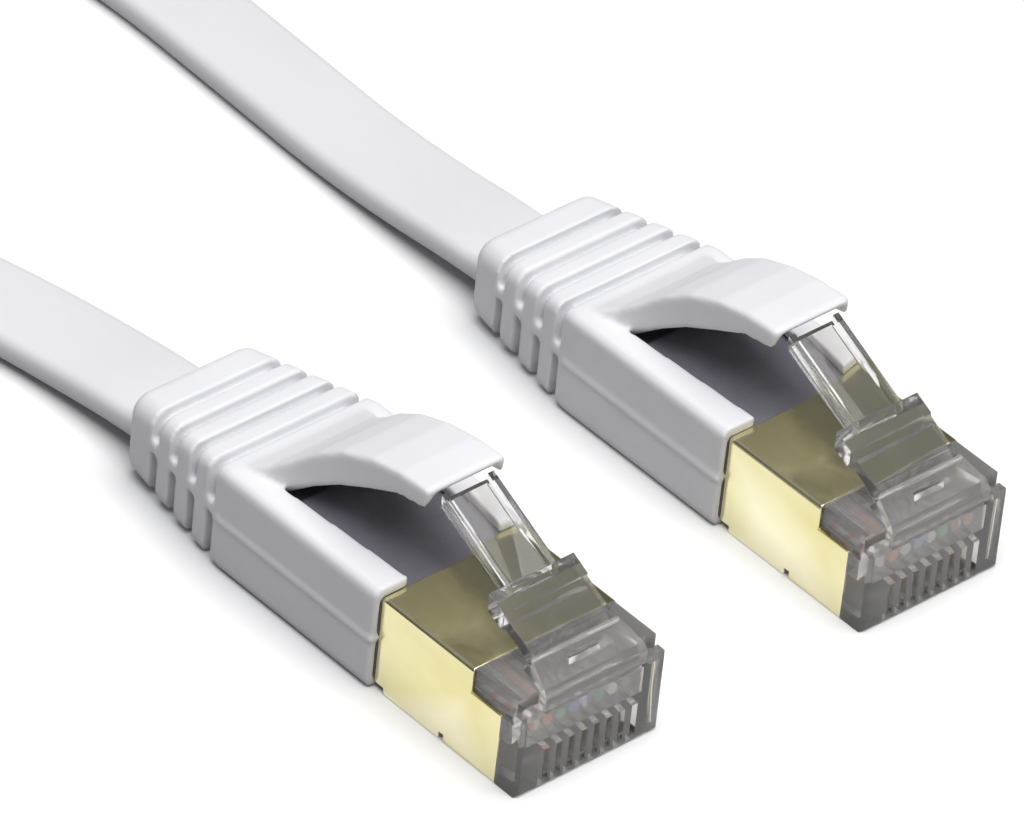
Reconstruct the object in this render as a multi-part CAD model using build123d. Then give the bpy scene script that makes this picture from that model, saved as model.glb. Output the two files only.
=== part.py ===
from build123d import *
import math
import os

# Ethernet patch cable: two shielded 8-way modular plugs on a flat cable, lying on a surface at z = 0.
# Each plug is modelled in its own frame: nose face at x = 0, cable leaving towards -X, latch up.

# plug body, mm
nose_width = 11.68
body_top = 7.0
flange_top = 6.05
flange_depth = 0.9
cavity_front = -1.4
cavity_half = 4.65
cavity_floor = 3.05
cavity_roof = 5.85
plug_rear = -20.6
neck_half = 5.3
neck_floor = 0.9
neck_roof = 6.45

# contacts and wires, mm
pin_count = 8
pin_pitch = 1.02
slot_width = 0.46
blade_thickness = 0.3
wire_diameter = 0.76
wire_level = 4.0
wire_nose_end = -1.7
pair_spacing = 1.7
twin_spacing = 0.78
pair_of_pin = [0, 0, 1, 2, 2, 1, 3, 3]
screen_bore = 1.58
screen_outside = 1.66

# shield, mm
sheet = 0.25
panel_front = -1.97
panel_step = 5.25
roof_front = -4.74
boot_front = -13.15

# latch, mm: its top face is the line z = latch_rise + latch_slope * -x
latch_rise = 7.35
latch_slope = 0.485
latch_pivot_x = -2.75
latch_pivot_z = 8.15
latch_tip = -12.75
shoulder_x = -6.5
shoulder_half = 3.4
lever_half = 2.1
hinge_gap = 0.05

# boot and latch guard, mm
boot_half = 6.4
boot_top = 7.65
boot_wall = 0.55
boot_end = -38.0
relief_start = -27.4
relief_half = 5.0
relief_floor = 0.35
relief_top = 6.3
groove_pitch = 2.1
groove_width = 0.75
groove_count = 4
window_half_front = 3.75
window_half_rear = 4.4
window_rear = -25.6
guard_pivot_x = -26.5
guard_pivot_z = 6.85
guard_root_radius = 0.75

# cable, mm
cable_width = 7.3
cable_thickness = 2.0
cable_level = 2.8
jacket_start = -23.0

# the two plugs in the part's frame, mm
plug_spacing = 28.1
plug_stagger = 0.55
nose_x = {"plug_a": (-boot_end - plug_stagger) / 2, "plug_b": (-boot_end + plug_stagger) / 2}
axis_y = {"plug_a": -plug_spacing / 2, "plug_b": plug_spacing / 2}

# put-away coil, mm: the flat cable is wound on edge
coil_x = -93.25
coil_y = -20.5
coil_inside = 29.6
coil_outside = 41.0
coil_height = 8.0
tie_thickness = 0.8
tie_width = 9.0
tie_angle = 45.0

# cable routes, mm: plug A to the outer turn, and plug B to the inner turn, under the others
cable_on_floor = 1.03
route_a = [
    (-4.3, -14.05, 2.8),
    (-17.6, -14.05, 2.8),
    (-31.0, -14.3, 1.1),
    (-42.3, -17.4, 1.6),
    (-50.3, -24.6, 2.8),
    (-54.8, -34.2, 3.6),
]
route_b = [
    (-3.75, 14.05, 2.8),
    (-18.4, 14.05, 2.8),
    (-33.2, 14.2, 1.05),
    (-46.5, 14.8, cable_on_floor),
    (-58.5, 15.2, cable_on_floor),
    (-69.8, 13.5, cable_on_floor),
    (-80.6, 10.7, cable_on_floor),
    (-90.4, 8.4, cable_on_floor),
]
# outline of the passage that the inner end takes under the turns
passage = [(-50, 10.4), (-58, 10.8), (-70, 9.2), (-81, 6.4), (-95, 3.0),
           (-95, 12.0), (-81, 15.0), (-70, 17.6), (-58, 19.4), (-50, 19.4)]


def slab(x0, x1, half_width, z0, z1):
    """A box from x0 to x1 and z0 to z1, centred on the plug's middle plane."""
    return Pos((x0 + x1) / 2, 0, (z0 + z1) / 2) * Box(abs(x1 - x0), 2 * half_width, z1 - z0)


def side_prism(outline, half_width):
    """A prism across the plug from an outline of (x, z) points."""
    face = make_face(Polyline(*[(x, 0, z) for x, z in outline], close=True))
    return extrude(face, amount=half_width, dir=(0, 1, 0), both=True)


def plan_prism(outline, z0, z1):
    """An upright prism from an outline of (x, y) points."""
    face = make_face(Polyline(*[(x, y, z0) for x, y in outline], close=True))
    return extrude(face, amount=z1 - z0, dir=(0, 0, 1))


def cross_rod(x, z, radius, half_width):
    """A round rod across the plug."""
    return Pos(x, 0, z) * Rot(90, 0, 0) * Cylinder(radius, 2 * half_width)


def pin_y(index):
    return (index - (pin_count - 1) / 2) * pin_pitch


def latch_top(x):
    return latch_rise - latch_slope * x


def housing():
    """Clear body: nose flange, main block, narrower neck inside the boot, and the latch's root block."""
    half = nose_width / 2
    inner_half = half - sheet
    body = slab(-flange_depth, 0, half, 0, flange_top)
    body += slab(panel_front, -flange_depth, half, 0, panel_step)
    body += slab(roof_front, -flange_depth, inner_half, 0, body_top)
    body += slab(boot_front + sheet, roof_front, inner_half, sheet, body_top - sheet)
    body += slab(plug_rear, boot_front + sheet, neck_half - sheet, neck_floor + sheet, neck_roof - sheet)
    front_edges = body.faces().sort_by(Axis.X)[-1].edges()
    body = chamfer(front_edges, 0.25)
    block = side_prism(
        [(0, flange_top), (0, body_top - 0.05), (-0.35, latch_top(-0.35)), (-2.45, latch_top(-2.45)),
         (-3.0, latch_top(-2.45)), (-3.0, body_top), (-1.2, body_top - 0.4), (-1.2, flange_top)],
        4.2,
    )
    block &= plan_prism([(0.1, -4.15), (-3.1, -3.3), (-3.1, 3.3), (0.1, 4.15)], 0, 12)
    block -= cross_rod(latch_pivot_x, latch_pivot_z, 0.5 + hinge_gap, 5)
    block -= slab(-5, latch_pivot_x, 5, body_top + 0.35, 12)
    block -= slab(-1.65, -1.35, 1.25, latch_top(-1.5) - 0.7, 12)
    body += block
    body -= slab(plug_rear - 1, cavity_front, cavity_half, cavity_floor, cavity_roof)
    body -= slab(plug_rear - 1, -11.5, cavity_half, 1.75, cavity_roof)
    for index in range(pin_count):
        slot = slab(-6.6, -0.6, slot_width / 2, -1, cavity_floor + 0.01)
        slot += slab(-0.7, 1, slot_width / 2, 0.6, 3.0)
        body -= Pos(0, pin_y(index), 0) * slot
    return body


def latch():
    """Clear locking lever: wide shouldered plate, cross bar and a ribbed tail under the guard."""
    plate = 0.85

    def strip(x0, x1, half_width, over, under):
        return side_prism(
            [(x0, latch_top(x0) + over), (x1, latch_top(x1) + over),
             (x1, latch_top(x1) - under), (x0, latch_top(x0) - under)],
            half_width,
        )

    lever = strip(latch_pivot_x - 0.1, shoulder_x, shoulder_half - 0.05, 0, plate)
    lever &= plan_prism([(-2, -3.3), (shoulder_x - 1, -3.42), (shoulder_x - 1, 3.42), (-2, 3.3)], 0, 20)
    lever += strip(-5.1, shoulder_x, shoulder_half, 0.15, plate + 0.35)
    lever += strip(shoulder_x, latch_tip, lever_half - 0.05, -0.45, plate)
    for side in (-1, 1):
        lever += Pos(0, side * (lever_half - 0.25), 0) * strip(shoulder_x + 0.3, latch_tip, 0.25, 0, plate + 0.15)
    lever += cross_rod(latch_pivot_x, latch_pivot_z, 0.5, shoulder_half - 0.1)
    return lever


def shield():
    """Folded gold-plated sheet: stepped front sleeve, neck sleeve and the crimp band round the cable."""
    half = nose_width / 2
    inner_half = half - sheet
    shell = slab(boot_front, panel_front, half, 0, body_top)
    shell -= slab(boot_front + sheet, 1, inner_half, sheet, body_top - sheet)
    shell -= slab(roof_front, 1, 10, panel_step, 10)
    shell -= slab(-7.4, 1, inner_half, -1, sheet + 0.1)
    shell -= slab(-13.3, -12.3, 10, -1, 0.45)
    shell -= slab(-7.15, -6.75, 10, -1, 0.5)
    shell += slab(plug_rear, boot_front, neck_half, neck_floor, neck_roof)
    shell -= slab(plug_rear - 1, boot_front + 2 * sheet, neck_half - sheet, neck_floor + sheet, neck_roof - sheet)
    band = slab(-24.6, -21.6, cable_width / 2 + 0.05 + sheet, cable_level - 1.3, cable_level + 1.3)
    band -= slab(-25, -21, cable_width / 2 + 0.05, cable_level - 1.05, cable_level + 1.05)
    strap = slab(-21.6, plug_rear, 2.0, cable_level - 1.3, cable_level - 1.05)
    strap += slab(plug_rear - sheet, plug_rear, 2.0, neck_floor, cable_level - 1.05)
    strap += slab(plug_rear - sheet, plug_rear + 0.4, 2.0, neck_floor, neck_floor + sheet)
    shell += strap
    shell += band
    return shell


def blade():
    """One contact: a flat blade with two points that pierce the wire above it."""
    outline = [(-6.3, 0.55), (-1.6, 0.55), (-1.1, 1.05), (-1.1, 2.75), (-2.7, 2.9), (-3.0, wire_level + 0.1),
               (-3.3, 2.9), (-4.5, 2.9), (-4.8, wire_level + 0.1), (-5.1, 2.9), (-6.3, 2.75)]
    return side_prism(outline, blade_thickness / 2)


def wire_path(index):
    """Centre line of a conductor: straight under the comb, then across to its place in its pair."""
    pair = pair_of_pin[index]
    twin = -0.5 if pair_of_pin.index(pair) == index else 0.5
    y_end = (pair - 1.5) * pair_spacing + twin * twin_spacing
    y_pin = pin_y(index)
    points = [(wire_nose_end, y_pin, wire_level), (-12.0, y_pin, wire_level)]
    if index == 5:
        points.append((-14.5, 0.25, cavity_roof - wire_diameter / 2 - 0.12))
    points.append((-17.4, y_end, cable_level))
    points.append((jacket_start, y_end, cable_level))
    return FilletPolyline(*points, radius=0.9)


def conductor(index):
    path = wire_path(index)
    start = Plane(origin=path @ 0, z_dir=path % 0)
    wire = sweep(start * Circle(wire_diameter / 2), path=path)
    return wire - Pos(0, pin_y(index), 0) * blade()


def load_bar():
    """Clear comb that holds the conductors in order over the blades."""
    bar = slab(-11.3, -2.3, 4.6, cavity_floor, 4.95)
    for index in range(pin_count):
        bore = Pos(-7, pin_y(index), wire_level) * Rot(0, 90, 0) * Cylinder(wire_diameter / 2 + 0.05, 12)
        bar -= bore
        bar -= Pos(0, pin_y(index), 0) * slab(-6.4, -1, slot_width / 2, 0, wire_level)
    return bar


def pair_screen(pair):
    """Foil sleeve round one pair, between the comb and the jacket."""
    length = -18.6 - jacket_start
    sleeve = SlotOverall(screen_outside, screen_outside - 0.02) - SlotOverall(screen_bore + 0.02, wire_diameter + 0.06)
    y = (pair - 1.5) * pair_spacing
    return Pos(jacket_start, y, cable_level) * Rot(0, 90, 0) * Rot(0, 0, 90) * extrude(sleeve, amount=length)


def inner_mould():
    """Dark block moulded round the plug's neck, the crimp band and the end of the cable."""
    block = slab(-27.0, boot_front, boot_half - boot_wall, 0.6, body_top - 0.2)
    block -= slab(plug_rear, 0, neck_half, neck_floor, neck_roof)
    block -= slab(-24.6, plug_rear, cable_width / 2 + 0.05 + sheet, neck_floor, cable_level + 1.3)
    block -= slab(-28, -22, cable_width / 2 + 0.05, cable_level - 1.05, cable_level + 1.05)
    block -= cross_rod(guard_pivot_x, guard_pivot_z, guard_root_radius + 0.1, 5)
    block -= slab(guard_pivot_x - 0.7, window_rear + 2.3, window_half_rear + 0.1, guard_pivot_z - 0.8, 9)
    return block


def boot():
    """White boot: box sleeve with an open window, then a ribbed strain relief that narrows to the cable."""
    middle = boot_top / 2
    front = Plane(origin=(relief_start, 0, middle), x_dir=(0, 1, 0), z_dir=(1, 0, 0))
    sleeve = extrude(front * RectangleRounded(2 * boot_half, boot_top, 0.7), amount=boot_front - relief_start)
    end_height = relief_top - relief_floor
    rear = Plane(origin=(boot_end, 0, (relief_top + relief_floor) / 2), x_dir=(0, 1, 0), z_dir=(1, 0, 0))
    relief = loft([rear * RectangleRounded(2 * relief_half, end_height, 1.5),
                   front * RectangleRounded(2 * boot_half, boot_top, 0.7)])
    relief = fillet(relief.faces().sort_by(Axis.X)[0].edges(), 1.0)
    body = sleeve + relief
    body -= slab(-27.05, 1, boot_half - boot_wall, 0.6, body_top - 0.15)
    window = [(window_rear, -window_half_rear), (boot_front, -window_half_front), (0, -window_half_front),
              (0, window_half_front), (boot_front, window_half_front), (window_rear, window_half_rear)]
    body -= plan_prism(window, 5, 10)
    body -= slab(boot_end - 1, -20, cable_width / 2 + 0.05, cable_level - 1.05, cable_level + 1.05)
    body -= slab(boot_end - 1, boot_end + 6, cable_width / 2 + 0.05, cable_level - 1.3, cable_level)
    body -= cross_rod(guard_pivot_x, guard_pivot_z, guard_root_radius + hinge_gap, window_half_rear)
    body -= slab(guard_pivot_x, window_rear + 0.1, window_half_rear, 5.9, 10)
    for number in range(groove_count):
        x = relief_start - 1.2 - number * groove_pitch
        share = (relief_start - x) / (relief_start - boot_end)
        half = boot_half + (relief_half - boot_half) * share - 0.85
        top = boot_top + (relief_top - boot_top) * share - 0.85
        floor = relief_floor * share + 0.7
        ring = slab(x - groove_width / 2, x + groove_width / 2, 10, -1, 10)
        core = Plane(origin=(x, 0, (top + floor) / 2), x_dir=(0, 1, 0), z_dir=(1, 0, 0))
        ring -= extrude(core * RectangleRounded(2 * half, top - floor, 0.9), amount=2, both=True)
        ring -= slab(x - 1, x + 1, 10, 3.7, 4.55)
        body -= ring
    return body


def latch_guard():
    """Raised pad over the window: it curves up and forward to the end of the latch."""
    top_line = Spline([(guard_pivot_x + 0.2, 0, 7.6), (-24.4, 0, 8.95), (-22.0, 0, 10.9), (-19.0, 0, 12.6),
                       (-16.0, 0, 13.75), (-12.85, 0, 14.2)])
    low_line = Spline([(-12.85, 0, 12.9), (-15.3, 0, 12.05), (-19.5, 0, 10.1), (-23.0, 0, 7.75),
                       (guard_pivot_x + 0.35, 0, 6.15)])
    front_edge = Line(top_line @ 1, low_line @ 0)
    root_edge = Line(low_line @ 1, top_line @ 0)
    profile = make_face(Curve() + [top_line, front_edge, low_line, root_edge])
    pad = extrude(profile, amount=6, dir=(0, 1, 0), both=True)
    near_side = Spline([(-27.5, -4.35, 0), (-25.2, -4.2, 0), (-21.5, -3.3, 0), (-18.0, -3.0, 0), (-12.0, -3.0, 0)])
    far_side = mirror(near_side, about=Plane.XZ)
    plan = make_face(Curve() + [near_side, Line(near_side @ 1, far_side @ 1), far_side,
                                Line(far_side @ 0, near_side @ 0)])
    pad &= extrude(plan, amount=20, dir=(0, 0, 1))
    pad += cross_rod(guard_pivot_x, guard_pivot_z, guard_root_radius, window_half_rear - 0.1)
    channel = [(-12.5, 12.0), (-12.5, 13.7), (-13.6, 13.55), (-16.4, 12.4), (-16.4, 10.5)]
    pad -= side_prism(channel, 2.35)
    corners = pad.edges().filter_by(Axis.Z).sort_by(Axis.X)[-2:]
    return fillet(corners, 0.5)


def lead(points):
    """Flat cable along straight runs joined by tangent arcs as large as the runs allow."""
    radii = []
    for before, here, after in zip(points, points[1:], points[2:]):
        run_in = Vector(here) - Vector(before)
        run_out = Vector(after) - Vector(here)
        half_turn = math.radians(run_in.get_angle(run_out)) / 2
        radii.append(0.45 * min(run_in.length, run_out.length) / math.tan(half_turn))
    path = FilletPolyline(*points, radius=radii)
    start = Plane(origin=path @ 0, x_dir=(0, 1, 0), z_dir=path % 0)
    above = Pos(0, 0, 20) * path.wire()
    tube = sweep(start * RectangleRounded(cable_width, cable_thickness, 0.8), path=path, binormal=above)
    section = RectangleRounded(cable_width, cable_thickness, 0.8).area
    print("lead radii", [round(radius) for radius in radii], "length", round(path.length, 1),
          "volume ratio", round(tube.volume / (section * path.length), 4))
    return tube


def coil():
    """Outer shape of the wound cable, with a groove under it for the tie and a passage for the inner end."""
    ring = Cylinder(coil_outside, coil_height) - Cylinder(coil_inside, coil_height)
    ring = Pos(0, 0, coil_height / 2) * ring
    groove_reach = (coil_inside + coil_outside) / 2
    ring -= Rot(0, 0, tie_angle) * Pos(-groove_reach, 0, 0) * Box(20, tie_width + 0.6, 2 * tie_thickness + 0.2)
    ring = Pos(coil_x, coil_y, 0) * ring
    return ring - plan_prism(passage, -1, cable_on_floor + cable_thickness / 2 + 0.02)


def cable_tie():
    """Hook-and-loop strap closed round the coil."""
    reach = (coil_inside + coil_outside) / 2
    inside = coil_outside - coil_inside + 1.0
    height = coil_height - tie_thickness + 0.1
    outer = Box(inside + 2 * tie_thickness, tie_width, height + 2 * tie_thickness)
    strap = outer - Box(inside, 2 * tie_width, height)
    strap = Pos(-reach, 0, tie_thickness + height / 2) * strap
    return Pos(coil_x, coil_y, 0) * Rot(0, 0, tie_angle) * strap


def write(node, solid):
    export_step(solid, "parts/" + node + ".step")


os.makedirs("parts", exist_ok=True)

pieces = {
    "housing": housing(),
    "latch": latch(),
    "shield": shield(),
    "load_bar": load_bar(),
    "inner_mould": inner_mould(),
    "boot": boot(),
    "latch_guard": latch_guard(),
}
for index in range(pin_count):
    pieces["contact_" + str(index + 1)] = Pos(0, pin_y(index), 0) * blade()
    pieces["wire_" + str(index + 1)] = conductor(index)
for pair in range(4):
    pieces["pair_screen_" + str(pair + 1)] = pair_screen(pair)

for plug in ("plug_a", "plug_b"):
    place = Pos(nose_x[plug], axis_y[plug], 0)
    for name, solid in pieces.items():
        write(plug + "_" + name, place * solid)

wound = coil()
write("cable_coil", wound)
write("cable_tie", cable_tie())
write("cable_lead_a", lead(route_a) - wound)
write("cable_lead_b", lead(route_b))
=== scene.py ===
import math
import bmesh
import bpy
from mathutils import Matrix, Vector


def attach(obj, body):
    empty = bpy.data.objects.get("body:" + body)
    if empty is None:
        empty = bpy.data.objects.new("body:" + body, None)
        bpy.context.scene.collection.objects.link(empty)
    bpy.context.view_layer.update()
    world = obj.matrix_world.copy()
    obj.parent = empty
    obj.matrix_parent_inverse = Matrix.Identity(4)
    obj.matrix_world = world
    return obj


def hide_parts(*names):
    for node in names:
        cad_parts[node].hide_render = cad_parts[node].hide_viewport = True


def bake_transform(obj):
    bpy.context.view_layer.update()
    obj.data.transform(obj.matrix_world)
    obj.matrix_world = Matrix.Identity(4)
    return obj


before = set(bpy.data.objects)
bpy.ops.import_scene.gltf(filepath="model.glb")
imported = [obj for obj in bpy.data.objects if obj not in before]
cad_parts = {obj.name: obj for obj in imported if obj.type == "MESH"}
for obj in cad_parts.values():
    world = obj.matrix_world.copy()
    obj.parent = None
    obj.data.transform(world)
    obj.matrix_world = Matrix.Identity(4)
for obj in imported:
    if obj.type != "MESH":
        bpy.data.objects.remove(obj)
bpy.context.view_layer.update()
mm = 0.001
mergeReach = 0.002  # mm between corners of a CAD copy that become one
smoothDeg = 40  # edges sharper than this stay sharp
plugs = {"plug_a": Vector((0.018725, -0.01405, 0)), "plug_b": Vector((0.019275, 0.01405, 0))}  # nose points
print("frame loaded")

# camera

cameraSetup = {
    "place": (0.408325, -0.41941, 0.46314),
    "headingDeg": 44.57,
    "tiltDeg": 52.16,
    "rollDeg": 6.44,
    "lens": 421.9,
    "sensor": 36,
}


def makeCamera(setup):
    data = bpy.data.cameras.new("studioCamera")
    data.lens = setup["lens"]
    data.sensor_width = setup["sensor"]
    camera = bpy.data.objects.new("studioCamera", data)
    bpy.context.scene.collection.objects.link(camera)
    heading = Matrix.Rotation(math.radians(setup["headingDeg"]), 4, "Z")
    tilt = Matrix.Rotation(math.radians(setup["tiltDeg"]), 4, "X")
    roll = Matrix.Rotation(math.radians(setup["rollDeg"]), 4, "Z")
    camera.matrix_world = Matrix.Translation(setup["place"]) @ heading @ tilt @ roll
    bpy.context.scene.camera = camera


makeCamera(cameraSetup)
print("camera placed")

# small helpers for pieces


def linkPiece(name, mesh, sharpFromDeg=None):
    mesh.name = name
    piece = bpy.data.objects.new(name, mesh)
    bpy.context.scene.collection.objects.link(piece)
    if sharpFromDeg is not None:
        mesh.shade_smooth()
        mesh.set_sharp_from_angle(angle=math.radians(sharpFromDeg))
    return piece


def appliedMesh(piece):
    bpy.context.view_layer.update()
    graph = bpy.context.evaluated_depsgraph_get()
    return bpy.data.meshes.new_from_object(piece.evaluated_get(graph), depsgraph=graph)


def meshFromShape(name, shape):
    mesh = bpy.data.meshes.new(name)
    shape.to_mesh(mesh)
    shape.free()
    return mesh


def mergedShape(*nodeNames):
    shape = bmesh.new()
    for nodeName in nodeNames:
        shape.from_mesh(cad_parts[nodeName].data)
    bmesh.ops.remove_doubles(shape, verts=shape.verts, dist=mergeReach * mm)
    return shape


# cable: one flat ribbon from boot to boot, wound on edge in between

cableSizes = {
    "width": 7.3,
    "thickness": 2.0,
    "cornerRadius": 0.85,
    "cornerSteps": 5,
    "stepsPerPoint": 10,
    "sharpFromDeg": 50,
    "exit": (-0.019275, -0.01405, 0.0028),
    "length": 0.935,
}
coilSizes = {
    "middle": (-93.25, -20.5),
    "outerTurn": 38.4,
    "turnSpacing": 2.6,
    "startDeg": -20,
    "pointsPerTurn": 16,
    "woundTurns": 3.5,
    "height": 3.75,
    "leanDeg": 90,  # the turns stand on edge
    "reach": 1.0185,  # the spline runs this much inside its points
}
# where something lies under the turns: angle, half the flat stretch, half the whole hump, lift
coilHumps = [(63, 27, 62, 2.3), (225, 12, 45, 0.85)]
# x, y, z in mm and the ribbon's lean in degrees
routeA = [
    (-4.3, -14.05, 2.8, 0),
    (-17.6, -14.05, 2.8, 0),
    (-31.0, -14.3, 1.1, 0),
    (-42.3, -17.4, 1.6, 6),
    (-50.3, -24.6, 3.3, 42),
]
routeB = [
    (-115.3, 0.0, 3.8, 82),
    (-105.9, 5.2, 3.6, 54),
    (-96.5, 7.2, 2.3, 20),
    (-88.0, 8.6, 1.15, 0),
    (-80.0, 10.7, 1.03, 0),
    (-69.8, 13.5, 1.03, 0),
    (-58.5, 15.2, 1.03, 0),
    (-46.5, 14.8, 1.03, 0),
    (-33.2, 14.2, 1.05, 0),
    (-18.4, 14.05, 2.8, 0),
    (-3.75, 14.05, 2.8, 0),
]


def humpAt(angleDeg):
    height = 0
    for middleDeg, flat, whole, lift in coilHumps:
        away = abs((angleDeg - middleDeg + 180) % 360 - 180)
        share = min(1, max(0, (whole - away) / (whole - flat)))
        height += lift * share * share * (3 - 2 * share)  # eases in and out
    return height


def coilPoints(sizes):
    points = []
    middleX, middleY = sizes["middle"]
    for step in range(int(sizes["woundTurns"] * sizes["pointsPerTurn"]) + 1):
        turn = step / sizes["pointsPerTurn"]
        angleDeg = sizes["startDeg"] - 360 * turn
        radius = (sizes["outerTurn"] - sizes["turnSpacing"] * turn) * sizes["reach"]
        angle = math.radians(angleDeg)
        points.append((middleX + radius * math.cos(angle), middleY + radius * math.sin(angle),
                       sizes["height"] + humpAt(angleDeg), sizes["leanDeg"]))
    return points


def ribbonProfile(sizes):
    half = Vector((sizes["width"] / 2, sizes["thickness"] / 2))
    radius = sizes["cornerRadius"]
    outline = []
    for sideX, sideY, startDeg in ((1, 1, 0), (-1, 1, 90), (-1, -1, 180), (1, -1, 270)):
        for step in range(sizes["cornerSteps"] + 1):
            angle = math.radians(startDeg + 90 * step / sizes["cornerSteps"])
            outline.append((sideX * (half.x - radius) + radius * math.cos(angle),
                            sideY * (half.y - radius) + radius * math.sin(angle)))
    profile = bpy.data.curves.new("ribbonProfile", "CURVE")
    spline = profile.splines.new("POLY")
    spline.points.add(len(outline) - 1)
    for point, (x, y) in zip(spline.points, outline):
        point.co = (x * mm, y * mm, 0, 1)
    spline.use_cyclic_u = True
    return bpy.data.objects.new("ribbonProfile", profile)


def makeCable(sizes, points):
    curve = bpy.data.curves.new("cable", "CURVE")
    curve.dimensions = "3D"
    curve.twist_mode = "Z_UP"
    curve.resolution_u = sizes["stepsPerPoint"]
    spline = curve.splines.new("NURBS")
    spline.points.add(len(points) - 1)
    for point, (x, y, z, lean) in zip(spline.points, points):
        point.co = (x * mm, y * mm, z * mm, 1)
        point.tilt = math.radians(lean)
    spline.order_u = 3
    spline.use_endpoint_u = True
    line = linkPiece("cableLine", curve)
    centreLine = appliedMesh(line)
    path = [vertex.co.copy() for vertex in centreLine.vertices]
    profile = ribbonProfile(sizes)
    bpy.context.scene.collection.objects.link(profile)
    curve.bevel_mode = "OBJECT"
    curve.bevel_object = profile
    curve.use_fill_caps = True
    ribbon = linkPiece("cable", appliedMesh(line), sizes["sharpFromDeg"])
    bpy.data.objects.remove(line)
    bpy.data.objects.remove(profile)
    bpy.data.meshes.remove(centreLine)
    return ribbon, path


cable, cablePath = makeCable(cableSizes, routeA + coilPoints(coilSizes) + routeB)
print("cable wound")

# cable tie: a hook-and-loop strap round the coil

tieSizes = {
    "width": 9.0,
    "thickness": 0.8,
    "corner": 1.6,
    "cornerSteps": 5,
    "acrossTurns": (28.4, 39.5),
    "heights": (0.8, 8.5),
    "tailLength": 6.0,
    "tailFrom": 5.0,  # from the outer wall to the tail's middle
    "tailLift": 1.2,  # in thicknesses
    "tailShare": 0.9,
    "edge": 0.12,
    "edgeSteps": 2,
    "placeDeg": 45,
}


def makeTie(sizes):
    low, high = (value * mm for value in sizes["heights"])
    inner, outer = (-value * mm for value in sizes["acrossTurns"])
    width = sizes["width"] * mm
    shape = bmesh.new()
    bmesh.ops.create_cube(shape, size=1)
    bmesh.ops.scale(shape, vec=(inner - outer, width, high - low), verts=shape.verts)
    bmesh.ops.translate(shape, vec=((inner + outer) / 2, 0, (high + low) / 2), verts=shape.verts)
    across = [edge for edge in shape.edges if abs((edge.verts[0].co - edge.verts[1].co).y) > width / 2]
    bmesh.ops.bevel(shape, geom=across, offset=sizes["corner"] * mm, segments=sizes["cornerSteps"], profile=0.5,
                    affect="EDGES", material=-1)
    ends = [face for face in shape.faces if abs(face.normal.y) > abs(face.normal.x) + abs(face.normal.z)]
    bmesh.ops.delete(shape, geom=ends, context="FACES")
    bmesh.ops.solidify(shape, geom=shape.faces[:], thickness=-sizes["thickness"] * mm)
    tail = bmesh.ops.create_cube(shape, size=1)["verts"]
    bmesh.ops.scale(shape, vec=(sizes["tailLength"] * mm, width, sizes["tailShare"] * sizes["thickness"] * mm),
                    verts=tail)
    bmesh.ops.translate(shape, vec=(outer + sizes["tailFrom"] * mm, 0,
                                    high + sizes["tailLift"] * sizes["thickness"] * mm), verts=tail)
    bmesh.ops.recalc_face_normals(shape, faces=shape.faces)
    toPlace = (Matrix.Translation((coilSizes["middle"][0] * mm, coilSizes["middle"][1] * mm, 0))
               @ Matrix.Rotation(math.radians(sizes["placeDeg"]), 4, "Z"))
    bmesh.ops.transform(shape, matrix=toPlace, verts=shape.verts)
    tie = linkPiece("tieStrap", meshFromShape("tieStrap", shape), smoothDeg)
    rounding = tie.modifiers.new("edges", "BEVEL")
    rounding.width = sizes["edge"] * mm
    rounding.segments = sizes["edgeSteps"]
    return tie


tieStrap = makeTie(tieSizes)
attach(cable, "root")
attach(tieStrap, "root")
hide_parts("cable_lead_a", "cable_coil", "cable_lead_b")
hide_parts("cable_tie")
print("tie closed")

# shader building blocks

groupValues = {
    "grainDetail": 3,
    "grainSpread": (0.3, 0.7),
    "mottleDetail": 4,
    "mottleRoughness": 0.6,
    "mottleSpread": (0.35, 0.65),
    "rubSpread": (0.52, 0.62),  # Pointiness where the effect starts and where it is full
    # hollowSpread and usualHollows: where the painted shade in hollows starts and is full, and its usual
    # strength
    "hollowSpread": (0.485, 0.42),
    "usualHollows": 0.3,
}


def shaderGroup(name, inputs, outputs):
    group = bpy.data.node_groups.new(name, "ShaderNodeTree")
    for label, kind in inputs:
        group.interface.new_socket(name=label, in_out="INPUT", socket_type="NodeSocket" + kind)
    for label, kind in outputs:
        group.interface.new_socket(name=label, in_out="OUTPUT", socket_type="NodeSocket" + kind)
    return group, group.nodes.new("NodeGroupInput"), group.nodes.new("NodeGroupOutput")


def spreadNode(tree, limits):
    spread = tree.nodes.new("ShaderNodeMapRange")
    spread.inputs["From Min"].default_value, spread.inputs["From Max"].default_value = limits
    return spread


def makeGrainGroup():
    group, given, result = shaderGroup(
        "fineGrain", [("Vector", "Vector"), ("Scale", "Float"), ("Low", "Float"), ("High", "Float")],
        [("Height", "Float"), ("Level", "Float")])
    noise = group.nodes.new("ShaderNodeTexNoise")
    noise.inputs["Detail"].default_value = groupValues["grainDetail"]
    spread = spreadNode(group, groupValues["grainSpread"])
    group.links.new(given.outputs["Vector"], noise.inputs["Vector"])
    group.links.new(given.outputs["Scale"], noise.inputs["Scale"])
    group.links.new(noise.outputs["Fac"], spread.inputs["Value"])
    group.links.new(given.outputs["Low"], spread.inputs["To Min"])
    group.links.new(given.outputs["High"], spread.inputs["To Max"])
    group.links.new(noise.outputs["Fac"], result.inputs["Height"])
    group.links.new(spread.outputs["Result"], result.inputs["Level"])
    return group


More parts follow.
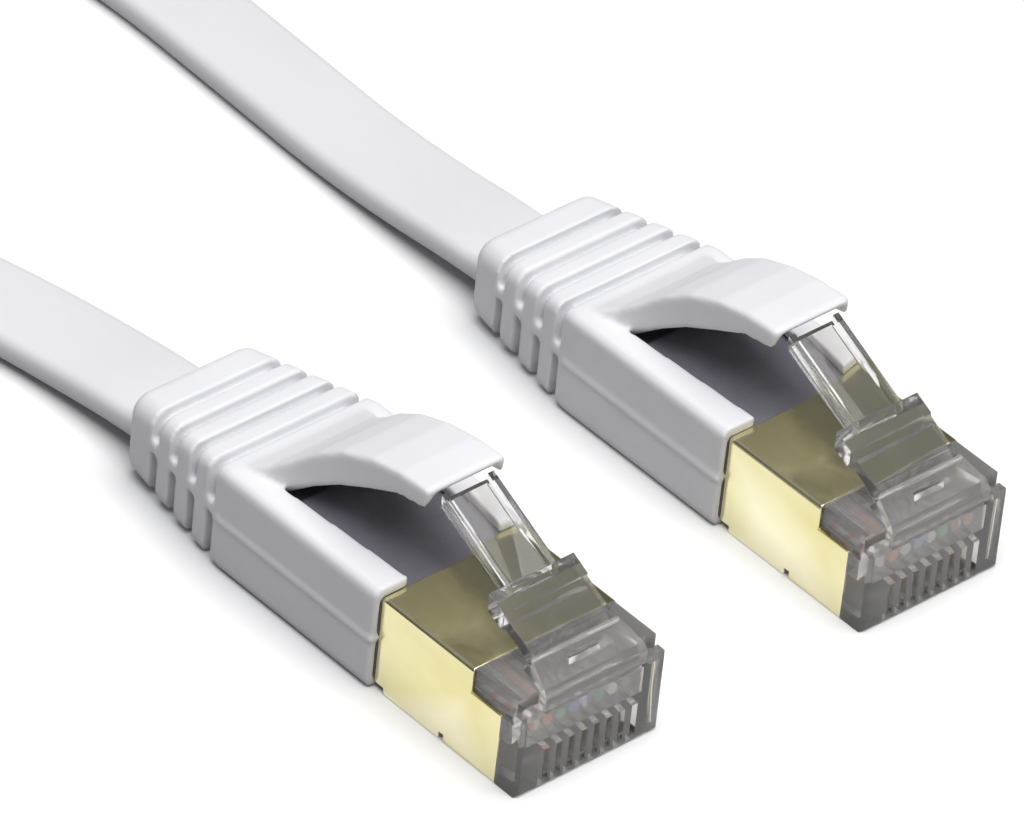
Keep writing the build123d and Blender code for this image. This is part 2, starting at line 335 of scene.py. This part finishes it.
def makeMottleGroup():
    group, given, result = shaderGroup(
        "mottledTone", [("Vector", "Vector"), ("Scale", "Float"), ("Light", "Color"), ("Shade", "Color")],
        [("Color", "Color")])
    noise = group.nodes.new("ShaderNodeTexNoise")
    noise.inputs["Detail"].default_value = groupValues["mottleDetail"]
    noise.inputs["Roughness"].default_value = groupValues["mottleRoughness"]
    spread = spreadNode(group, groupValues["mottleSpread"])
    mixer = group.nodes.new("ShaderNodeMix")
    mixer.data_type = "RGBA"
    group.links.new(given.outputs["Vector"], noise.inputs["Vector"])
    group.links.new(given.outputs["Scale"], noise.inputs["Scale"])
    group.links.new(noise.outputs["Fac"], spread.inputs["Value"])
    group.links.new(spread.outputs["Result"], mixer.inputs["Factor"])
    group.links.new(given.outputs["Light"], mixer.inputs["A"])
    group.links.new(given.outputs["Shade"], mixer.inputs["B"])
    group.links.new(mixer.outputs["Result"], result.inputs["Color"])
    return group


def makeEdgeGroup():
    group, given, result = shaderGroup(
        "edgeRubAndHollowShade", [("Color", "Color"), ("Rubbed", "Color"), ("Amount", "Float"), ("Grime", "Color"),
                    ("Hollows", "Float")], [("Color", "Color")])
    surface = group.nodes.new("ShaderNodeNewGeometry")
    previous = given.outputs["Color"]
    # first pass: lighter convex edges as wear; second pass: painted shade, a darker tone in grooves and creases
    for tone, amount, limits in (("Rubbed", "Amount", "rubSpread"), ("Grime", "Hollows", "hollowSpread")):
        spread = spreadNode(group, groupValues[limits])
        strength = group.nodes.new("ShaderNodeMath")
        strength.operation = "MULTIPLY"
        mixer = group.nodes.new("ShaderNodeMix")
        mixer.data_type = "RGBA"
        group.links.new(surface.outputs["Pointiness"], spread.inputs["Value"])
        group.links.new(spread.outputs["Result"], strength.inputs[0])
        group.links.new(given.outputs[amount], strength.inputs[1])
        group.links.new(strength.outputs["Value"], mixer.inputs["Factor"])
        group.links.new(previous, mixer.inputs["A"])
        group.links.new(given.outputs[tone], mixer.inputs["B"])
        previous = mixer.outputs["Result"]
    group.links.new(previous, result.inputs["Color"])
    return group


grainGroup = makeGrainGroup()
mottleGroup = makeMottleGroup()
edgeGroup = makeEdgeGroup()


def placeGroup(material, group, **values):
    node = material.node_tree.nodes.new("ShaderNodeGroup")
    node.node_tree = group
    for label, value in values.items():
        node.inputs[label].default_value = (*value, 1) if isinstance(value, tuple) else value
    return node


def startMaterial(name, stretch=(1, 1, 1), turnDeg=(0, 0, 0)):
    material = bpy.data.materials.new(name)
    material.use_nodes = True
    nodes = material.node_tree.nodes
    place = nodes.new("ShaderNodeTexCoord")
    mapping = nodes.new("ShaderNodeMapping")
    mapping.inputs["Scale"].default_value = stretch
    mapping.inputs["Rotation"].default_value = [math.radians(angle) for angle in turnDeg]
    material.node_tree.links.new(place.outputs["Object"], mapping.inputs["Vector"])
    return material, nodes["Principled BSDF"], mapping.outputs["Vector"]


def surfaceDetail(material, shader, vector, look):
    links = material.node_tree.links
    glossLow, glossHigh = look["gloss"]
    tone = placeGroup(material, mottleGroup, Scale=look["mottleScale"], Light=look["light"],
                      Shade=look["shade"])
    # edge group: lighter convex edges as wear, and painted shade darkening the hollows
    rubAndShade = placeGroup(material, edgeGroup, Rubbed=look["rubbed"], Amount=look["rubAmount"],
                     Grime=look.get("paintedHollowShade", look["shade"]),
                     Hollows=look.get("hollows", groupValues["usualHollows"]))
    grain = placeGroup(material, grainGroup, Scale=look["grainScale"], Low=glossLow, High=glossHigh)
    bump = material.node_tree.nodes.new("ShaderNodeBump")
    bump.inputs["Strength"].default_value = look["bump"]
    bump.inputs["Distance"].default_value = look["bumpDepth"] * mm
    links.new(vector, tone.inputs["Vector"])
    links.new(vector, grain.inputs["Vector"])
    links.new(tone.outputs["Color"], rubAndShade.inputs["Color"])
    links.new(rubAndShade.outputs["Color"], shader.inputs["Base Color"])
    links.new(grain.outputs["Level"], shader.inputs["Roughness"])
    links.new(grain.outputs["Height"], bump.inputs["Height"])
    links.new(bump.outputs["Normal"], shader.inputs["Normal"])


# the darker hollow tones below are painted shade in grooves and creases; rubbed is lighter edge wear
finishes = {
    "bootPlastic": {
        "light": (0.86, 0.86, 0.885), "shade": (0.82, 0.82, 0.85), "mottleScale": 140,
        "rubbed": (0.94, 0.94, 0.96), "rubAmount": 0.4, "paintedHollowShade": (0.34, 0.34, 0.38), "hollows": 0.9,
        "grainScale": 5200, "gloss": (0.42, 0.56),
        "bump": 0.25, "bumpDepth": 0.03, "values": {"Subsurface Weight": 0.0, "Specular IOR Level": 0.42},
    },
    "jacketPlastic": {
        "light": (0.80, 0.80, 0.82), "shade": (0.765, 0.765, 0.79), "mottleScale": 90,
        "rubbed": (0.88, 0.88, 0.9), "rubAmount": 0.2, "grainScale": 2600, "gloss": (0.36, 0.5),
        "bump": 0.2, "bumpDepth": 0.04, "stretch": (0.35, 1, 1), "values": {"Specular IOR Level": 0.45},
    },
    # inner mould: a real part whose dark grey is painted shade for the deep pocket under the latch guard
    "darkMouldPaintedShade": {
        "light": (0.17, 0.165, 0.20), "shade": (0.13, 0.125, 0.155), "mottleScale": 320,
        "rubbed": (0.24, 0.235, 0.27), "rubAmount": 0.3, "grainScale": 3800, "gloss": (0.55, 0.72),
        "bump": 0.3, "bumpDepth": 0.03, "values": {},
    },
    "goldSheet": {
        "light": (0.76, 0.70, 0.37), "shade": (0.70, 0.64, 0.29), "mottleScale": 260,
        "rubbed": (0.96, 0.93, 0.78), "rubAmount": 0.6, "grainScale": 900, "gloss": (0.14, 0.24),
        "bump": 0.04, "bumpDepth": 0.02, "stretch": (0.5, 1, 1), "values": {"Metallic": 1.0},
    },
    "contactGold": {
        "light": (0.93, 0.74, 0.33), "shade": (0.80, 0.60, 0.24), "mottleScale": 500,
        "rubbed": (1.0, 0.9, 0.6), "rubAmount": 0.5, "grainScale": 6000, "gloss": (0.12, 0.24),
        "bump": 0.05, "bumpDepth": 0.01, "values": {"Metallic": 1.0},
    },
    "pairFoil": {
        "light": (0.84, 0.85, 0.87), "shade": (0.66, 0.67, 0.69), "mottleScale": 900,
        "rubbed": (0.95, 0.95, 0.96), "rubAmount": 0.4, "grainScale": 2200, "gloss": (0.2, 0.42),
        "bump": 0.6, "bumpDepth": 0.08, "values": {"Metallic": 1.0},
    },
    "clearPlastic": {
        "light": (0.95, 0.94, 0.91), "shade": (0.87, 0.86, 0.83), "mottleScale": 380,
        "rubbed": (0.98, 0.98, 0.97), "rubAmount": 0.8, "paintedHollowShade": (0.7, 0.7, 0.68), "grainScale": 1500,
        "gloss": (0.03, 0.08), "bump": 0.05, "bumpDepth": 0.02,
        "values": {"Transmission Weight": 0.96, "IOR": 1.45},
    },
    "smokyPlastic": {
        "light": (0.98, 0.955, 0.925), "shade": (0.90, 0.87, 0.84), "mottleScale": 300,
        "rubbed": (0.98, 0.97, 0.95), "rubAmount": 0.9, "paintedHollowShade": (0.6, 0.59, 0.57), "grainScale": 1200,
        "gloss": (0.06, 0.16), "bump": 0.06, "bumpDepth": 0.02,
        "values": {"Transmission Weight": 0.84, "IOR": 1.42},
    },
}


def makeFinish(name):
    look = finishes[name]
    material, shader, vector = startMaterial(name, look.get("stretch", (1, 1, 1)))
    for label, value in look["values"].items():
        shader.inputs[label].default_value = value
    surfaceDetail(material, shader, vector, look)
    return material


wireLooks = {  # body colour and stripe
    "wireWhiteOrange": ((0.80, 0.76, 0.72), (0.78, 0.24, 0.07)),
    "wireOrange": ((0.80, 0.25, 0.07), (0.70, 0.20, 0.05)),
    "wireWhiteGreen": ((0.76, 0.79, 0.74), (0.07, 0.38, 0.17)),
    "wireBlue": ((0.08, 0.20, 0.55), (0.06, 0.15, 0.45)),
    "wireWhiteBlue": ((0.74, 0.77, 0.82), (0.08, 0.20, 0.55)),
    "wireGreen": ((0.06, 0.36, 0.16), (0.05, 0.30, 0.13)),
    "wireWhiteBrown": ((0.79, 0.75, 0.70), (0.30, 0.15, 0.07)),
    "wireBrown": ((0.30, 0.15, 0.07), (0.24, 0.12, 0.05)),
}
wireDetail = {
    "turnDeg": (0, 0, 28),
    "bandScale": 260,
    "bandWobble": 0.4,
    "bandCut": (0.62, 0.72),
    "grainScale": 3000.0,
    "gloss": (0.28, 0.42),
}


def makeWireFinish(name):
    body, stripe = wireLooks[name]
    material, shader, vector = startMaterial(name, turnDeg=wireDetail["turnDeg"])
    nodes, links = material.node_tree.nodes, material.node_tree.links
    bands = nodes.new("ShaderNodeTexWave")
    bands.inputs["Scale"].default_value = wireDetail["bandScale"]
    bands.inputs["Distortion"].default_value = wireDetail["bandWobble"]
    cut = spreadNode(material.node_tree, wireDetail["bandCut"])
    mixer = nodes.new("ShaderNodeMix")
    mixer.data_type = "RGBA"
    mixer.inputs["A"].default_value = (*body, 1)
    mixer.inputs["B"].default_value = (*stripe, 1)
    glossLow, glossHigh = wireDetail["gloss"]
    grain = placeGroup(material, grainGroup, Scale=wireDetail["grainScale"], Low=glossLow, High=glossHigh)
    links.new(vector, bands.inputs["Vector"])
    links.new(vector, grain.inputs["Vector"])
    links.new(bands.outputs["Fac"], cut.inputs["Value"])
    links.new(cut.outputs["Result"], mixer.inputs["Factor"])
    links.new(mixer.outputs["Result"], shader.inputs["Base Color"])
    links.new(grain.outputs["Level"], shader.inputs["Roughness"])
    return material


strapLook = {
    "thread": (0.74, 0.74, 0.75),
    "gap": (0.58, 0.58, 0.60),
    "pitch": 0.45,
    "wavePeriod": 0.314,  # of the wave texture at scale 1, in metres
    "wobble": 0.8,
    "bump": 0.7,
    "bumpDepth": 0.1,
    "grainScale": 2500.0,
    "gloss": (0.78, 0.95),
}


def makeStrapFinish(look):
    material, shader, vector = startMaterial("strapWeave")
    nodes, links = material.node_tree.nodes, material.node_tree.links
    threads = []
    for direction in ("X", "Y"):
        wave = nodes.new("ShaderNodeTexWave")
        wave.bands_direction = direction
        wave.inputs["Scale"].default_value = look["wavePeriod"] / (look["pitch"] * mm)
        wave.inputs["Distortion"].default_value = look["wobble"]
        links.new(vector, wave.inputs["Vector"])
        threads.append(wave)
    weave = nodes.new("ShaderNodeMath")
    weave.operation = "MULTIPLY"
    links.new(threads[0].outputs["Fac"], weave.inputs[0])
    links.new(threads[1].outputs["Fac"], weave.inputs[1])
    mixer = nodes.new("ShaderNodeMix")
    mixer.data_type = "RGBA"
    mixer.inputs["A"].default_value = (*look["gap"], 1)
    mixer.inputs["B"].default_value = (*look["thread"], 1)
    bump = nodes.new("ShaderNodeBump")
    bump.inputs["Strength"].default_value = look["bump"]
    bump.inputs["Distance"].default_value = look["bumpDepth"] * mm
    glossLow, glossHigh = look["gloss"]
    grain = placeGroup(material, grainGroup, Scale=look["grainScale"], Low=glossLow, High=glossHigh)
    links.new(vector, grain.inputs["Vector"])
    links.new(weave.outputs["Value"], mixer.inputs["Factor"])
    links.new(mixer.outputs["Result"], shader.inputs["Base Color"])
    links.new(weave.outputs["Value"], bump.inputs["Height"])
    links.new(bump.outputs["Normal"], shader.inputs["Normal"])
    links.new(grain.outputs["Level"], shader.inputs["Roughness"])
    return material


materials = {name: makeFinish(name) for name in finishes}
materials.update({name: makeWireFinish(name) for name in wireLooks})
materials["strapWeave"] = makeStrapFinish(strapLook)


def paint(piece, finish):
    piece.data.materials.clear()
    piece.data.materials.append(materials[finish])


paint(cable, "jacketPlastic")
paint(tieStrap, "strapWeave")
print("finishes mixed")

# boot and latch guard: one soft moulding

bootSizes = {
    "voxel": 0.165,
    "smoothing": 4,
    "softenShare": 0.5,
    "bendFrom": 7.7,
    "bendTo": 9.3,
    "hingeX": -26.5,
    "sharpFromDeg": 180,  # smooth all over
    "seam": (14.6, 13.06, 0.3),  # the mould's parting line: length, width over both sides, height
    "seamMiddle": (-20.4, 0, 3.85),
}
guardSizes = {
    # x, top, underside, half the width
    "stations": (
        (-28.0, 7.5, 5.7, 5.2), (-27.0, 7.75, 5.7, 5.1), (-25.5, 8.5, 6.2, 4.4), (-24.0, 9.7, 7.2, 3.95),
        (-22.5, 11.1, 8.4, 3.65), (-20.5, 12.45, 9.7, 3.4), (-18.0, 13.45, 10.9, 3.25),
        (-15.5, 14.0, 12.1, 3.2), (-12.8, 14.2, 12.6, 3.2)),
    "channelFrom": -19.0,
    "channelHalf": 2.45,
    "channelDepth": 1.05,
    "edge": 0.35,
    "edgeSteps": 2,
    "sharpDeg": 40,
}


def guardMesh(nose, sizes):
    shape = bmesh.new()
    bmesh.ops.create_grid(shape, x_segments=3, y_segments=1, size=1)
    standing = Matrix(((0, 0, 1), (1, 0, 0), (0, 1, 0))).to_4x4()
    bmesh.ops.transform(shape, matrix=standing, verts=shape.verts)
    front = shape.faces[:]
    for _ in sizes["stations"][1:]:
        made = bmesh.ops.extrude_face_region(shape, geom=front)["geom"]
        front = [item for item in made if isinstance(item, bmesh.types.BMFace)]
        moved = [item for item in made if isinstance(item, bmesh.types.BMVert)]
        bmesh.ops.translate(shape, vec=(1, 0, 0), verts=moved)
    for vertex in shape.verts:
        x, top, underside, half = sizes["stations"][round(vertex.co.x)]
        inner = abs(vertex.co.y) < 0.5
        height = top if vertex.co.z > 0 else underside
        if inner and vertex.co.z < 0 and x > sizes["channelFrom"]:
            height += sizes["channelDepth"]
        across = math.copysign(sizes["channelHalf"] if inner else half, vertex.co.y)
        vertex.co = nose + Vector((x * mm, across * mm, height * mm))
    bmesh.ops.recalc_face_normals(shape, faces=shape.faces)
    sharp = [edge for edge in shape.edges if edge.calc_face_angle(0) > math.radians(sizes["sharpDeg"])]
    bmesh.ops.bevel(shape, geom=sharp, offset=sizes["edge"] * mm, segments=sizes["edgeSteps"], profile=0.5,
                    affect="EDGES", material=-1)
    return meshFromShape("guard", shape)


def makeBootSkin(plug, sizes):
    nose = plugs[plug]
    shape = mergedShape(plug + "_boot")
    guard = guardMesh(nose, guardSizes)
    shape.from_mesh(guard)
    bpy.data.meshes.remove(guard)
    seam = bmesh.ops.create_cube(shape, size=1)["verts"]
    bmesh.ops.scale(shape, vec=Vector(sizes["seam"]) * mm, verts=seam)
    bmesh.ops.translate(shape, vec=nose + Vector(sizes["seamMiddle"]) * mm, verts=seam)
    rough = linkPiece("roughSkin", meshFromShape("roughSkin", shape))
    remesh = rough.modifiers.new("oneSkin", "REMESH")
    remesh.mode = "VOXEL"
    remesh.voxel_size = sizes["voxel"] * mm
    soften = rough.modifiers.new("soften", "SMOOTH")
    soften.factor = sizes["softenShare"]
    soften.iterations = sizes["smoothing"]
    skin = linkPiece(plug + "_boot_skin", appliedMesh(rough), sizes["sharpFromDeg"])
    bpy.data.objects.remove(rough)
    print("boot faces:", len(skin.data.polygons))
    paint(skin, "bootPlastic")
    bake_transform(skin)
    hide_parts(plug + "_boot", plug + "_latch_guard")
    return skin


# sheet metal and clear pieces: rounded edges

foldSizes = {"radius": 0.3, "segments": 4, "atLeast": 2.0, "reach": 0.06}
edgeWidths = {"shield": 0.12, "latch": 0.08, "housing": 0.06}
edgeRules = {"steps": 2, "sharpDeg": 30, "flatDeg": 2}


def roundFolds(shape, sizes):
    top = max(vertex.co.z for vertex in shape.verts)
    sides = (min(vertex.co.y for vertex in shape.verts), max(vertex.co.y for vertex in shape.verts))
    reach = sizes["reach"] * mm
    folds = [edge for edge in shape.edges if edge.calc_length() > sizes["atLeast"] * mm
             and all(abs(vertex.co.z - top) < reach for vertex in edge.verts)
             and any(all(abs(vertex.co.y - side) < reach for vertex in edge.verts) for side in sides)]
    bmesh.ops.bevel(shape, geom=folds, offset=sizes["radius"] * mm, segments=sizes["segments"], profile=0.5,
                    affect="EDGES", material=-1)
    print("folds rounded:", len(folds))


def roundedCopy(plug, part, body, finish):
    shape = mergedShape(plug + "_" + part)
    bmesh.ops.dissolve_limit(shape, angle_limit=math.radians(edgeRules["flatDeg"]), verts=shape.verts,
                             edges=shape.edges)
    if part == "shield":
        roundFolds(shape, foldSizes)
    piece = linkPiece(plug + "_" + part + "_form", meshFromShape(part, shape), smoothDeg)
    rounding = piece.modifiers.new("edges", "BEVEL")
    rounding.width = edgeWidths[part] * mm
    rounding.segments = edgeRules["steps"]
    rounding.limit_method = "ANGLE"
    rounding.angle_limit = math.radians(edgeRules["sharpDeg"])
    rounding.harden_normals = True
    paint(piece, finish)
    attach(piece, body)
    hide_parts(plug + "_" + part)
    return piece


for plug in plugs:
    makeBootSkin(plug, bootSizes)
    roundedCopy(plug, "shield", "root", "goldSheet")
    roundedCopy(plug, "latch", plug + "_latch", "clearPlastic")
    roundedCopy(plug, "housing", "root", "smokyPlastic")
    paint(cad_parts[plug + "_load_bar"], "clearPlastic")
    # the inner mould's dark grey is painted shade for the pocket seen through the boot's window
    paint(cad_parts[plug + "_inner_mould"], "darkMouldPaintedShade")
    for number, wireFinish in enumerate(wireLooks, 1):
        paint(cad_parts[plug + "_contact_" + str(number)], "contactGold")
        paint(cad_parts[plug + "_wire_" + str(number)], wireFinish)
    for number in range(1, 5):
        paint(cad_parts[plug + "_pair_screen_" + str(number)], "pairFoil")
    print(plug, "built")

# floor and light

studio = {
    "floorSize": 3.0,
    "floorTone": 0.97,
    "bounceTone": 0.3,  # what soft light finds, so the sides stay darker than the tops
    "floorRoughness": 0.9,
    "skyTones": ((0.05, 0.06), (0.62, 0.14), (1.0, 0.45)),  # height of the ray, tone
    "skyBlue": 1.04,
    "skyStrength": 1.0,
    "boxPower": 8.3,
    "boxSide": 0.8,
    "boxPlace": (0.24, -0.03, 0.8),
}


def makeFloor(setup):
    shape = bmesh.new()
    bmesh.ops.create_grid(shape, x_segments=1, y_segments=1, size=setup["floorSize"] / 2)
    floor = linkPiece("studioFloor", meshFromShape("studioFloor", shape))
    material, shader, vector = startMaterial("paperFloor")
    nodes, links = material.node_tree.nodes, material.node_tree.links
    rays = nodes.new("ShaderNodeLightPath")
    mixer = nodes.new("ShaderNodeMix")
    mixer.data_type = "RGBA"
    mixer.inputs["A"].default_value = (*[setup["floorTone"]] * 3, 1)
    mixer.inputs["B"].default_value = (*[setup["bounceTone"]] * 3, 1)
    links.new(rays.outputs["Is Diffuse Ray"], mixer.inputs["Factor"])
    links.new(mixer.outputs["Result"], shader.inputs["Base Color"])
    shader.inputs["Roughness"].default_value = setup["floorRoughness"]
    shader.inputs["Specular IOR Level"].default_value = 0.0
    floor.data.materials.append(material)


def makeLight(setup):
    data = bpy.data.lights.new("topSoftbox", "AREA")
    data.shape = "SQUARE"
    data.size = setup["boxSide"]
    data.energy = setup["boxPower"]
    light = bpy.data.objects.new("topSoftbox", data)
    light.location = setup["boxPlace"]
    bpy.context.scene.collection.objects.link(light)
    world = bpy.data.worlds.new("studioSky")
    world.use_nodes = True
    nodes, links = world.node_tree.nodes, world.node_tree.links
    sky = nodes["Background"]
    sky.inputs["Strength"].default_value = setup["skyStrength"]
    direction = nodes.new("ShaderNodeTexCoord")
    parts = nodes.new("ShaderNodeSeparateXYZ")
    ramp = nodes.new("ShaderNodeValToRGB")
    ramp.color_ramp.elements.new(0.5)  # the loop moves it
    for stop, (height, tone) in zip(ramp.color_ramp.elements, setup["skyTones"]):
        stop.position = height
        stop.color = (tone, tone, setup["skyBlue"] * tone, 1)
    links.new(direction.outputs["Generated"], parts.inputs["Vector"])
    links.new(parts.outputs["Z"], ramp.inputs["Fac"])
    links.new(ramp.outputs["Color"], sky.inputs["Color"])
    bpy.context.scene.world = world
    bpy.context.scene.view_settings.view_transform = "Standard"


makeFloor(studio)
makeLight(studio)
print("studio lit")
